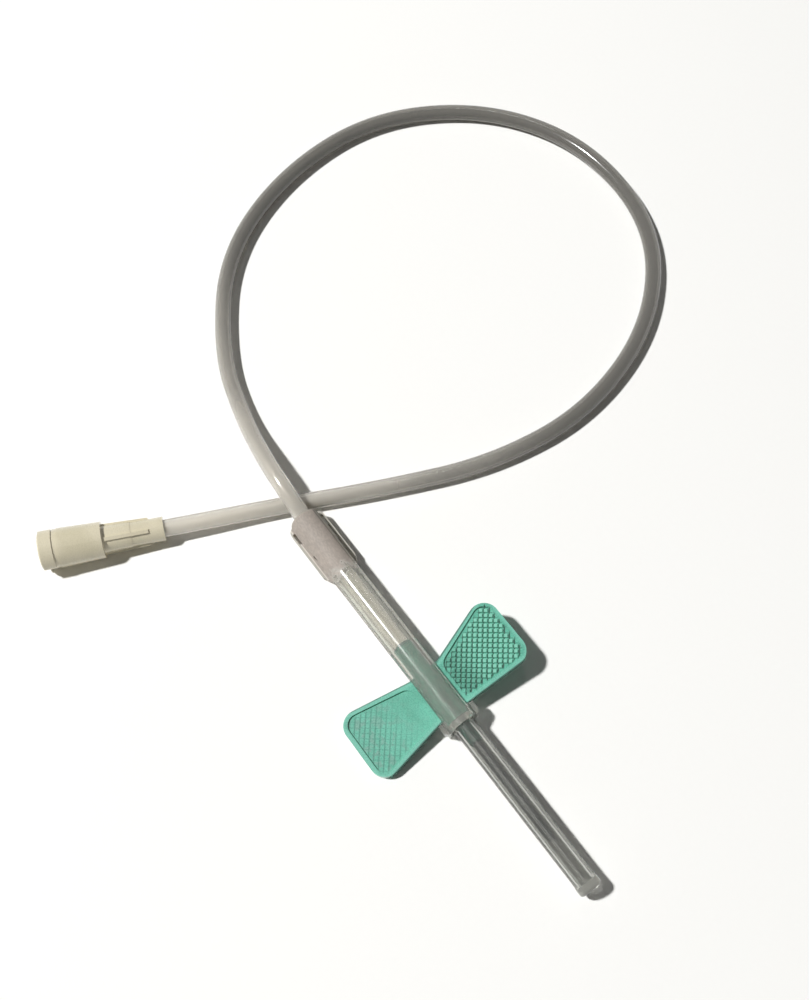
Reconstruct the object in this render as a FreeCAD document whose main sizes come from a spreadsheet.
# Butterfly needle: a winged needle with a sliding safety sleeve, a pull-off needle cover,
# a loop of clear tubing and a female luer connector. Millimetres, needle axis along X.
import FreeCAD, Part
import math
import os
import Sketcher

# Driving sizes. Lengths in millimetres, angles in degrees.
SIZES = {
    "sleeve_length": 52.0,
    "sleeve_radius": 3.05,
    "sleeve_bore": 2.6,
    "rear_wall": 1.2,
    "rear_hole": 2.55,
    "rear_round": 1.0,
    "collar_radius": 3.35,
    "collar_length": 2.4,
    "collar_chamfer": 0.3,
    "lobe_reach": 3.95,
    "lobe_height": 2.4,
    "lobe_chamfer": 0.7,
    "flange_reach": 3.9,
    "flange_height": 1.5,
    "flange_length": 12.2,
    "flange_taper": 2.7,
    "flange_drop": 1.85,
    "flange_round": 1.4,
    "latch_inset": 1.3,
    "latch_length": 2.6,
    "latch_width": 0.5,
    "latch_edge": 0.3,
    "sleeve_travel": 31.0,
    "slot_gap": 0.3,
    "hub_radius": 2.35,
    "hub_length": 9.0,
    "hub_setback": 1.4,
    "spigot_radius": 2.0,
    "spigot_length": 8.6,
    "spigot_chamfer": 0.25,
    "socket_depth": 11.3,
    "nose_radius": 1.45,
    "nose_length": 5.5,
    "nose_chamfer": 0.3,
    "wing_reach": 18.2,
    "wing_neck": 3.2,
    "wing_root": 9.7,
    "wing_flare_front": 1.4,
    "wing_flare_rear": 4.0,
    "wing_sweep": 1.15,
    "wing_edge": 1.6,
    "wing_recess": 0.4,
    "rim_width": 0.9,
    "wing_round": 3.0,
    "needle_reach": 25.4,
    "needle_radius": 0.8,
    "needle_bore": 0.6,
    "bevel_length": 5.0,
    "cover_reach": 36.0,
    "cover_radius": 2.25,
    "cover_fit": 0.1,
    "cover_seat": 0.1,
    "cover_end": 1.6,
    "cover_round": 0.7,
    "cover_turn": 38.0,
    "panel_count": 6,
    "panel_width": 1.9,
    "panel_depth": 0.25,
    "panel_start": 0.3,
    "panel_margin": 1.6,
    "tube_radius": 1.75,
    "luer_length": 24.0,
    "lug_radius": 4.05,
    "mouth_chamfer": 0.4,
    "thread_radius": 3.82,
    "thread_length": 3.7,
    "lug_start": 0.3,
    "lug_width": 2.4,
    "lug_angle": 140.0,
    "barrel_front": 3.92,
    "barrel_length": 12.1,
    "barrel_rear": 3.62,
    "neck_radius": 2.75,
    "tail_radius": 2.4,
    "tail_step": 0.1,
    "tail_step_at": 5.5,
    "tail_length": 3.0,
    "rib_count": 4,
    "rib_height": 0.32,
    "rib_width": 0.7,
    "luer_mouth_bore": 2.15,
    "luer_bore_depth": 8.0,
    "luer_bore_end": 1.91,
    "channel_radius": 1.0,
    "luer_socket": 7.0,
    "cut_margin": 1.0,
}

# Places and fits that follow from the driving sizes, on the needle axis.
PLACES = {
    "rear": "-(Sizes.sleeve_length + Sizes.cover_reach) / 2",
    "front": "rear + Sizes.sleeve_length",
    "slot_front": "front - Sizes.collar_length",
    "wing_front": "slot_front - Sizes.slot_gap",
    "wing_back": "wing_front - Sizes.wing_root",
    "slot_rear": "wing_back - Sizes.sleeve_travel - Sizes.slot_gap",
    "slot_half": "Sizes.wing_edge / 2 + Sizes.slot_gap",
    "shoulder": "front - Sizes.hub_setback",
    "hub_rear": "shoulder - Sizes.hub_length",
    "spigot_rear": "hub_rear - Sizes.spigot_length",
    "socket_bottom": "spigot_rear + Sizes.socket_depth",
    "nose_front": "shoulder + Sizes.nose_length",
    "needle_tip": "front + Sizes.needle_reach",
    "cover_rear": "shoulder + Sizes.cover_seat",
    "cover_tip": "front + Sizes.cover_reach",
    "cover_bore": "Sizes.nose_radius + Sizes.cover_fit",
    "rib_end": "Sizes.luer_length - Sizes.tail_length",
    "tail_taper": "(Sizes.neck_radius - Sizes.tail_radius) / (rib_end - Sizes.barrel_length)",
    "step_radius": "Sizes.neck_radius - tail_taper * Sizes.tail_step_at",
    "recess_round": "Sizes.wing_round - Sizes.rim_width",
    "axis_height": "Sizes.collar_radius",
    "roll": "asin((axis_height - Sizes.wing_edge / 2) / Sizes.wing_reach)",
    "lug_end": "Sizes.lug_start + Sizes.lug_width",
    "barrel_slope": "(Sizes.lug_radius - Sizes.barrel_rear) / (Sizes.barrel_length - lug_end)",
    "luer_pitch": "atan(barrel_slope)",
    "luer_height": "Sizes.lug_radius * cos(luer_pitch) + lug_end * sin(luer_pitch)",
}

# Where the luer connector lies on the surface, which way its tail points, and how far it is rolled.
LUER_MOUTH = (-68.0, -45.1)
LUER_YAW = 66.45
LUER_ROLL = 25.0

# Corners of the free tubing's route on the surface, from the sleeve's rear end to the luer connector.
# The third number is the height of the tube's centre above its height when it lies flat.
ROUTE = (
    (-42.6, 0.0, 1.75),
    (-49.6, 0.1, 4.25),
    (-57.0, 0.6, 4.25),
    (-70.3, 3.2, 0.0),
    (-86.7, 8.1, 0.0),
    (-108.1, 23.1, 0.0),
    (-119.7, 46.5, 0.0),
    (-121.2, 72.9, 0.0),
    (-107.7, 96.2, 0.0),
    (-85.1, 108.2, 0.0),
    (-57.7, 105.3, 0.0),
    (-38.5, 87.8, 0.0),
    (-29.5, 62.7, 0.0),
    (-31.6, 38.6, 0.0),
    (-40.4, 17.1, 0.0),
    (-49.9, -2.6, 0.0),
)
INNER_RUN = 16.8
INNER_SAG = 0.15
LAST_RUN = 13.0
ARC_SHARE = 0.45

doc = FreeCAD.newDocument("ButterflyNeedle")
sizes = doc.addObject("Spreadsheet::Sheet", "Sizes")
places = doc.addObject("Spreadsheet::Sheet", "Places")


def fill_sheet(sheet, cells, as_formula):
    """Write one named cell on each row, either a plain number or a formula."""
    for number, (alias, content) in enumerate(cells.items(), start=1):
        sheet.set("A%d" % number, alias)
        sheet.setAlias("B%d" % number, alias)
        sheet.set("B%d" % number, ("=" + content) if as_formula else str(content))


fill_sheet(sizes, SIZES, False)
fill_sheet(places, PLACES, True)
doc.recompute()


def size(alias):
    """Return a driving size as a number."""
    return float(sizes.get(alias))


def place(alias):
    """Return a derived place or angle as a number."""
    value = places.get(alias)
    return float(getattr(value, "Value", value))


def origin_feature(body, role):
    """Return the body's own origin plane or axis with the given role."""
    return [feature for feature in body.Origin.OriginFeatures if feature.Role == role][0]


def new_body(label):
    """Start a sub-part."""
    body = doc.addObject("PartDesign::Body", label)
    body.Label = label
    return body


def new_sketch(body, name, plane, height=None):
    """Start a sketch on one of the body's origin planes, raised by an expression."""
    sketch = body.newObject("Sketcher::SketchObject", name)
    sketch.AttachmentSupport = [(origin_feature(body, plane), "")]
    sketch.MapMode = "FlatFace"
    if height:
        sketch.setExpression("AttachmentOffset.Base.z", height)
    return sketch


def hold(sketch, geometry, point, across, up):
    """Hold a point of the sketch at two expressions, measured from the sketch's origin."""
    for kind, expression in (("DistanceX", across), ("DistanceY", up)):
        now = float(sketch.evalExpression(expression))
        index = sketch.addConstraint(Sketcher.Constraint(kind, -1, 1, geometry, point, now))
        sketch.setExpression("Constraints[%d]" % index, expression)


def polygon(sketch, corners):
    """Draw a closed outline of straight lines through corners given as pairs of expressions."""
    spots = [FreeCAD.Vector(float(sketch.evalExpression(across)), float(sketch.evalExpression(up)), 0)
             for across, up in corners]
    first = sketch.GeometryCount
    for index, spot in enumerate(spots):
        sketch.addGeometry(Part.LineSegment(spot, spots[(index + 1) % len(spots)]), False)
    for index, (across, up) in enumerate(corners):
        following = first + (index + 1) % len(spots)
        sketch.addConstraint(Sketcher.Constraint("Coincident", first + index, 2, following, 1))
        hold(sketch, first + index, 1, across, up)


def stadium(sketch, start, end, half_width):
    """Draw a slot with round ends along the sketch's horizontal axis."""
    left, right, half = (float(sketch.evalExpression(text)) for text in (start, end, half_width))
    quarter = math.pi / 2
    near, far = FreeCAD.Vector(left, 0, 0), FreeCAD.Vector(right, 0, 0)
    up = FreeCAD.Vector(0, half, 0)
    normal = FreeCAD.Vector(0, 0, 1)
    sketch.addGeometry(Part.ArcOfCircle(Part.Circle(near, normal, half), quarter, 3 * quarter), False)
    sketch.addGeometry(Part.ArcOfCircle(Part.Circle(far, normal, half), -quarter, quarter), False)
    sketch.addGeometry(Part.LineSegment(near + up, far + up), False)
    sketch.addGeometry(Part.LineSegment(near - up, far - up), False)
    for arc, arc_end, line, line_end in ((0, 1, 2, 1), (1, 2, 2, 2), (0, 2, 3, 1), (1, 1, 3, 2)):
        sketch.addConstraint(Sketcher.Constraint("Tangent", arc, arc_end, line, line_end))
    hold(sketch, 0, 3, start, "0")
    hold(sketch, 1, 3, end, "0")
    index = sketch.addConstraint(Sketcher.Constraint("Radius", 0, half))
    sketch.setExpression("Constraints[%d]" % index, half_width)


def turn(body, name, kind, corners):
    """Revolve an outline about the body's X axis, as a solid or as a cut."""
    sketch = new_sketch(body, name + "_profile", "XZ_Plane")
    polygon(sketch, corners)
    feature = body.newObject(kind, name)
    feature.Profile = sketch
    feature.ReferenceAxis = (sketch, ["H_Axis"])
    feature.Angle = 360
    return feature


def pad(body, sketch, name, length):
    """Thicken a sketch by the same amount on both sides of its plane."""
    feature = body.newObject("PartDesign::Pad", name)
    feature.Profile = sketch
    feature.SideType = "Symmetric"
    feature.setExpression("Length", length)
    return feature


def cut_through(body, sketch, name):
    """Cut a sketch through the whole body, both ways."""
    feature = body.newObject("PartDesign::Pocket", name)
    feature.Profile = sketch
    feature.SideType = "Symmetric"
    feature.Type = "ThroughAll"
    return feature


def recess(body, sketch, name, depth, reversed_way):
    """Cut a sketch to a depth, downwards or upwards."""
    feature = body.newObject("PartDesign::Pocket", name)
    feature.Profile = sketch
    feature.setExpression("Length", depth)
    feature.Reversed = reversed_way
    return feature


def round_edges(body, base, name, radius, wanted):
    """Fillet the edges of the last feature that the test wants."""
    doc.recompute()
    names = ["Edge%d" % (index + 1) for index, edge in enumerate(base.Shape.Edges) if wanted(edge)]
    feature = body.newObject("PartDesign::Fillet", name)
    feature.Base = (base, names)
    feature.setExpression("Radius", radius)
    return feature


def repeat(body, base, name, count):
    """Repeat a feature evenly about the body's X axis."""
    feature = body.newObject("PartDesign::PolarPattern", name)
    feature.Originals = [base]
    feature.Axis = (origin_feature(body, "X_Axis"), [""])
    feature.Angle = 360
    feature.setExpression("Occurrences", count)
    body.Tip = feature
    return feature


def upright(edge):
    """Say whether an edge is straight and parallel to Z."""
    if not isinstance(edge.Curve, Part.Line):
        return False
    return abs(edge.tangentAt(edge.FirstParameter).z) > 0.999


def lay_on_axis(body):
    """Lift a piece of the needle to the axis and roll it until the left wing touches down."""
    body.Placement = FreeCAD.Placement(FreeCAD.Vector(), FreeCAD.Rotation(FreeCAD.Vector(1, 0, 0), 1))
    body.setExpression("Placement.Base.z", "Places.axis_height")
    body.setExpression("Placement.Rotation.Angle", "Places.roll")


# Safety sleeve: a slotted tube with a front collar and two side flanges at the rear.
def make_sleeve():
    """Model the clear sliding sleeve as one moulding."""
    body = new_body("safety_sleeve")
    shell = turn(body, "SleeveBody", "PartDesign::Revolution", [
        ("Places.rear", "0"),
        ("Places.rear", "Sizes.sleeve_radius"),
        ("Places.slot_front", "Sizes.sleeve_radius"),
        ("Places.slot_front", "Sizes.collar_radius"),
        ("Places.front - Sizes.collar_chamfer", "Sizes.collar_radius"),
        ("Places.front", "Sizes.collar_radius - Sizes.collar_chamfer"),
        ("Places.front", "0"),
    ])

    def rear_rim(edge):
        return isinstance(edge.Curve, Part.Circle) and abs(edge.Curve.Center.x - place("rear")) < 0.01

    round_edges(body, shell, "RearShoulder", "Sizes.rear_round", rear_rim)
    flanges = new_sketch(body, "FlangeOutline", "XY_Plane", "-Sizes.flange_drop")
    polygon(flanges, [
        ("Places.rear", "-Sizes.flange_reach"),
        ("Places.rear + Sizes.flange_length", "-Sizes.flange_reach"),
        ("Places.rear + Sizes.flange_length + Sizes.flange_taper", "-Sizes.sleeve_bore"),
        ("Places.rear + Sizes.flange_length + Sizes.flange_taper", "Sizes.sleeve_bore"),
        ("Places.rear + Sizes.flange_length", "Sizes.flange_reach"),
        ("Places.rear", "Sizes.flange_reach"),
    ])
    flange = pad(body, flanges, "Flanges", "Sizes.flange_height")
    reach = size("flange_reach")

    def flange_corner(edge):
        spot = edge.CenterOfMass
        return upright(edge) and abs(spot.x - place("rear")) < 0.01 and abs(abs(spot.y) - reach) < 0.01

    round_edges(body, flange, "FlangeCorners", "Sizes.flange_round", flange_corner)
    lobes = new_sketch(body, "LobeOutline", "XY_Plane")
    polygon(lobes, [
        ("Places.slot_front", "-Sizes.lobe_reach"),
        ("Places.front - Sizes.lobe_chamfer", "-Sizes.lobe_reach"),
        ("Places.front", "-Sizes.lobe_reach + Sizes.lobe_chamfer"),
        ("Places.front", "Sizes.lobe_reach - Sizes.lobe_chamfer"),
        ("Places.front - Sizes.lobe_chamfer", "Sizes.lobe_reach"),
        ("Places.slot_front", "Sizes.lobe_reach"),
    ])
    pad(body, lobes, "Lobes", "Sizes.lobe_height")
    turn(body, "SleeveBore", "PartDesign::Groove", [
        ("Places.rear - Sizes.cut_margin", "0"),
        ("Places.rear - Sizes.cut_margin", "Sizes.rear_hole"),
        ("Places.rear + Sizes.rear_wall", "Sizes.rear_hole"),
        ("Places.rear + Sizes.rear_wall", "Sizes.sleeve_bore"),
        ("Places.front + Sizes.cut_margin", "Sizes.sleeve_bore"),
        ("Places.front + Sizes.cut_margin", "0"),
    ])
    slots = new_sketch(body, "SlotOutline", "XZ_Plane")
    polygon(slots, [
        ("Places.slot_rear", "-Places.slot_half"),
        ("Places.slot_front", "-Places.slot_half"),
        ("Places.slot_front", "Places.slot_half"),
        ("Places.slot_rear", "Places.slot_half"),
    ])
    cut_through(body, slots, "WingSlots")
    windows = new_sketch(body, "LatchOutline", "XY_Plane")
    for side in ("-", ""):
        outer = side + "(Sizes.flange_reach - Sizes.latch_edge)"
        inner = side + "(Sizes.flange_reach - Sizes.latch_edge - Sizes.latch_width)"
        polygon(windows, [
            ("Places.rear + Sizes.latch_inset", outer),
            ("Places.rear + Sizes.latch_inset + Sizes.latch_length", outer),
            ("Places.rear + Sizes.latch_inset + Sizes.latch_length", inner),
            ("Places.rear + Sizes.latch_inset", inner),
        ])
    cut_through(body, windows, "LatchWindows")
    return body


# Hub and wings: a stepped core with two flat wings, moulded in one.
def wing_outline(inset, neck):
    """Give the corners of the right and the left wing, drawn in by an inset."""
    wings = []
    for side, sweep in (("", "-"), ("-", "+")):
        front = "Places.wing_front - %s" % inset
        back = "Places.wing_back + %s" % inset
        lean = " %s Sizes.wing_sweep" % sweep
        tip = side + "(Sizes.wing_reach - %s)" % inset
        wings.append([
            (back, side + neck),
            (front, side + neck),
            (front + " + Sizes.wing_flare_front" + lean, tip),
            (back + " - Sizes.wing_flare_rear" + lean, tip),
        ])
    return wings


def make_hub():
    """Model the soft green hub with its wings as one moulding."""
    body = new_body("wing_hub")
    turn(body, "HubCore", "PartDesign::Revolution", [
        ("Places.spigot_rear", "0"),
        ("Places.spigot_rear", "Sizes.spigot_radius - Sizes.spigot_chamfer"),
        ("Places.spigot_rear + Sizes.spigot_chamfer", "Sizes.spigot_radius"),
        ("Places.hub_rear", "Sizes.spigot_radius"),
        ("Places.hub_rear", "Sizes.hub_radius"),
        ("Places.shoulder", "Sizes.hub_radius"),
        ("Places.shoulder", "Sizes.nose_radius"),
        ("Places.nose_front - Sizes.nose_chamfer", "Sizes.nose_radius"),
        ("Places.nose_front", "Sizes.nose_radius - Sizes.nose_chamfer"),
        ("Places.nose_front", "0"),
    ])
    right, left = wing_outline("0", "Sizes.wing_neck")
    outline = new_sketch(body, "WingOutline", "XY_Plane")
    polygon(outline, [right[0], left[0], left[3], left[2], left[1], right[1], right[2], right[3]])
    wings = pad(body, outline, "Wings", "Sizes.wing_edge")
    reach = size("wing_reach")
    base = wings
    for name, side, reversed_way in (("TopRecess", "", False), ("BottomRecess", "-", True)):
        field = new_sketch(body, name + "Outline", "XY_Plane", side + "Sizes.wing_edge / 2")
        for wing in wing_outline("Sizes.rim_width", "(Sizes.wing_neck + Sizes.rim_width / 2)"):
            polygon(field, wing)
        pocket = recess(body, field, name, "Sizes.wing_recess", reversed_way)
        deep = size("wing_recess") + 0.01

        def recess_corner(edge):
            return upright(edge) and edge.Length < deep and abs(edge.CenterOfMass.z) > size("wing_edge") / 4

        def this_side(edge):
            return recess_corner(edge) and (edge.CenterOfMass.z < 0) == reversed_way

        base = round_edges(body, pocket, name + "Corners", "Places.recess_round", this_side)

    def wing_corner(edge):
        return upright(edge) and abs(abs(edge.CenterOfMass.y) - reach) < 0.01

    round_edges(body, base, "WingCorners", "Sizes.wing_round", wing_corner)
    turn(body, "HubBores", "PartDesign::Groove", [
        ("Places.spigot_rear - Sizes.cut_margin", "0"),
        ("Places.spigot_rear - Sizes.cut_margin", "Sizes.tube_radius"),
        ("Places.socket_bottom", "Sizes.tube_radius"),
        ("Places.socket_bottom", "Sizes.needle_radius"),
        ("Places.nose_front + Sizes.cut_margin", "Sizes.needle_radius"),
        ("Places.nose_front + Sizes.cut_margin", "0"),
    ])
    return body


# Cannula: a steel tube, ground to a bevel that faces up.
def make_cannula():
    """Model the hollow needle with its bevelled tip."""
    body = new_body("cannula")
    turn(body, "NeedleTube", "PartDesign::Revolution", [
        ("Places.socket_bottom", "Sizes.needle_bore"),
        ("Places.socket_bottom", "Sizes.needle_radius"),
        ("Places.needle_tip", "Sizes.needle_radius"),
        ("Places.needle_tip", "Sizes.needle_bore"),
    ])
    bevel = new_sketch(body, "BevelOutline", "XZ_Plane")
    polygon(bevel, [
        ("Places.needle_tip - Sizes.bevel_length", "Sizes.needle_radius"),
        ("Places.needle_tip", "-Sizes.needle_radius"),
        ("Places.needle_tip + Sizes.cut_margin", "-Sizes.needle_radius"),
        ("Places.needle_tip + Sizes.cut_margin", "Sizes.needle_radius + Sizes.cut_margin"),
        ("Places.needle_tip - Sizes.bevel_length", "Sizes.needle_radius + Sizes.cut_margin"),
    ])
    cut_through(body, bevel, "Bevel")
    return body


# Needle cover: a closed tube that grips the hub's nose, with long shallow panels between ribs.
def make_cover():
    """Model the pull-off needle cover."""
    body = new_body("needle_cover")
    shell = turn(body, "CoverShell", "PartDesign::Revolution", [
        ("Places.cover_rear", "Places.cover_bore"),
        ("Places.cover_rear", "Sizes.cover_radius"),
        ("Places.cover_tip", "Sizes.cover_radius"),
        ("Places.cover_tip", "0"),
        ("Places.cover_tip - Sizes.cover_end", "0"),
        ("Places.cover_tip - Sizes.cover_end", "Places.cover_bore"),
    ])

    def tip_edge(edge):
        return isinstance(edge.Curve, Part.Circle) and abs(edge.Curve.Center.x - place("cover_tip")) < 0.01

    round_edges(body, shell, "CoverTip", "Sizes.cover_round", tip_edge)
    panel = new_sketch(body, "PanelOutline", "XY_Plane", "Sizes.cover_radius")
    stadium(panel, "Places.front + Sizes.panel_start + Sizes.panel_width / 2",
            "Places.cover_tip - Sizes.panel_margin - Sizes.panel_width / 2", "Sizes.panel_width / 2")
    first = recess(body, panel, "Panel", "Sizes.panel_depth", False)
    repeat(body, first, "Panels", "Sizes.panel_count")
    return body


# Luer connector: mouth with two lugs, barrel, step and a ribbed tail that takes the tube.
def make_luer():
    """Model the luer connector along its own X axis, from the mouth to the tail."""
    body = new_body("luer_connector")
    turn(body, "LuerCore", "PartDesign::Revolution", [
        ("0", "0"),
        ("0", "Sizes.thread_radius - Sizes.mouth_chamfer"),
        ("Sizes.mouth_chamfer", "Sizes.thread_radius"),
        ("Sizes.thread_length", "Sizes.thread_radius"),
        ("Sizes.thread_length", "Sizes.barrel_front"),
        ("Sizes.barrel_length", "Sizes.barrel_rear"),
        ("Sizes.barrel_length", "Sizes.neck_radius"),
        ("Sizes.barrel_length + Sizes.tail_step_at", "Places.step_radius"),
        ("Sizes.barrel_length + Sizes.tail_step_at", "Places.step_radius - Sizes.tail_step"),
        ("Places.rib_end", "Sizes.tail_radius"),
        ("Sizes.luer_length", "Sizes.tail_radius"),
        ("Sizes.luer_length", "0"),
    ])
    lug = turn(body, "Lug", "PartDesign::Revolution", [
        ("Sizes.lug_start", "Sizes.thread_radius - Sizes.mouth_chamfer"),
        ("Sizes.lug_start", "Sizes.lug_radius"),
        ("Places.lug_end", "Sizes.lug_radius"),
        ("Places.lug_end", "Sizes.thread_radius - Sizes.mouth_chamfer"),
    ])
    lug.setExpression("Angle", "Sizes.lug_angle")
    lug.Midplane = True
    repeat(body, lug, "Lugs", "2")
    rib_sketch = new_sketch(body, "RibOutline", "XZ_Plane")
    polygon(rib_sketch, [
        ("Sizes.barrel_length - Sizes.cut_margin", "Sizes.channel_radius"),
        ("Sizes.barrel_length - Sizes.cut_margin", "Sizes.neck_radius + Sizes.rib_height"),
        ("Sizes.barrel_length", "Sizes.neck_radius + Sizes.rib_height"),
        ("Places.rib_end", "Sizes.tail_radius + Sizes.rib_height"),
        ("Places.rib_end + Sizes.rib_height", "Sizes.tail_radius"),
        ("Places.rib_end + Sizes.rib_height", "Sizes.channel_radius"),
    ])
    rib = pad(body, rib_sketch, "Rib", "Sizes.rib_width")
    repeat(body, rib, "Ribs", "Sizes.rib_count")
    turn(body, "LuerBores", "PartDesign::Groove", [
        ("-Sizes.cut_margin", "0"),
        ("-Sizes.cut_margin", "Sizes.luer_mouth_bore"),
        ("0", "Sizes.luer_mouth_bore"),
        ("Sizes.luer_bore_depth", "Sizes.luer_bore_end"),
        ("Sizes.luer_bore_depth", "Sizes.channel_radius"),
        ("Sizes.luer_length - Sizes.luer_socket", "Sizes.channel_radius"),
        ("Sizes.luer_length - Sizes.luer_socket", "Sizes.tube_radius"),
        ("Sizes.luer_length + Sizes.cut_margin", "Sizes.tube_radius"),
        ("Sizes.luer_length + Sizes.cut_margin", "0"),
    ])
    return body


def lay_luer(body):
    """Lay the connector on a lug and the rear of its barrel, with the tail a little off the surface."""
    turned = FreeCAD.Rotation(LUER_YAW, place("luer_pitch"), LUER_ROLL)
    mouth = FreeCAD.Vector(LUER_MOUTH[0], LUER_MOUTH[1], place("luer_height"))
    body.Placement = FreeCAD.Placement(mouth, turned)
    body.setExpression("Placement.Base.z", "Places.luer_height")
    return body


# Tubing: straight runs joined by tangent arcs, from the hub's socket to the luer's socket.
def route_points(luer):
    """Give every corner of the tube's centre line, sockets included."""
    height = place("axis_height")
    start = place("socket_bottom")
    points = [
        FreeCAD.Vector(start, 0, height),
        FreeCAD.Vector(start - INNER_RUN, 0, height),
        FreeCAD.Vector(start - 2 * INNER_RUN - INNER_SAG, 0, height - INNER_SAG),
    ]
    points += [FreeCAD.Vector(x, y, size("tube_radius") + lift) for x, y, lift in ROUTE]
    along = luer.Placement.Rotation.multVec(FreeCAD.Vector(1, 0, 0))
    seat = luer.Placement.Base + along * (size("luer_length") - size("luer_socket"))
    return points + [seat + along * LAST_RUN, seat]


def make_tubing(luer):
    """Sweep the tube's round section along its route and print the radius of every bend."""
    points = route_points(luer)
    edges = []
    radii = []
    leaving = points[0]
    for before, corner, after in zip(points, points[1:], points[2:]):
        arriving_way = (corner - before).normalize()
        leaving_way = (after - corner).normalize()
        setback = ARC_SHARE * min((corner - before).Length, (after - corner).Length)
        half_turn = arriving_way.getAngle(leaving_way) / 2
        radii.append(setback / math.tan(half_turn))
        arc_start = corner - arriving_way * setback
        arc_end = corner + leaving_way * setback
        to_centre = (leaving_way - arriving_way).normalize()
        depth = radii[-1] * (1 / math.cos(half_turn) - 1)
        edges.append(Part.LineSegment(leaving, arc_start).toShape())
        edges.append(Part.Arc(arc_start, corner + to_centre * depth, arc_end).toShape())
        leaving = arc_end
    edges.append(Part.LineSegment(leaving, points[-1]).toShape())
    path = Part.Wire(edges)
    circle = Part.Circle(points[0], points[1] - points[0], size("tube_radius"))
    section = Part.Wire(circle.toShape())
    solid = path.makePipeShell([section], True, True)
    tube = doc.addObject("Part::Feature", "tubing")
    tube.Label = "tubing"
    tube.Shape = solid
    expected = math.pi * size("tube_radius") ** 2 * path.Length
    print("tube bend radii: " + ", ".join("%.1f" % radius for radius in radii))
    print("tube length %.1f, volume %.1f, section by length %.1f" % (path.Length, solid.Volume, expected))
    return tube


sleeve = make_sleeve()
hub = make_hub()
cannula = make_cannula()
cover = make_cover()
for piece in (sleeve, hub, cannula, cover):
    lay_on_axis(piece)
cover.setExpression("Placement.Rotation.Angle", "Places.roll + Sizes.cover_turn * 1 deg")
connector = lay_luer(make_luer())
doc.recompute()
tubing = make_tubing(connector)
doc.recompute()

for item in doc.Objects:
    if "Invalid" in item.State or "Error" in item.State:
        raise RuntimeError("%s failed: %s" % (item.Name, item.State))

pieces = [sleeve, hub, cannula, cover, connector, tubing]
for piece in pieces:
    if piece.Shape.isNull() or not piece.Shape.isValid():
        raise RuntimeError("%s has no valid shape" % piece.Label)

os.makedirs("parts", exist_ok=True)
for piece in pieces:
    piece.Shape.exportStep("parts/%s.step" % piece.Label)
    box = piece.Shape.optimalBoundingBox(False)
    print("%s: %d solid, volume %.1f, x %.2f to %.2f, y %.2f to %.2f, z %.2f to %.2f" % (
        piece.Label, len(piece.Shape.Solids), piece.Shape.Volume,
        box.XMin, box.XMax, box.YMin, box.YMax, box.ZMin, box.ZMax))
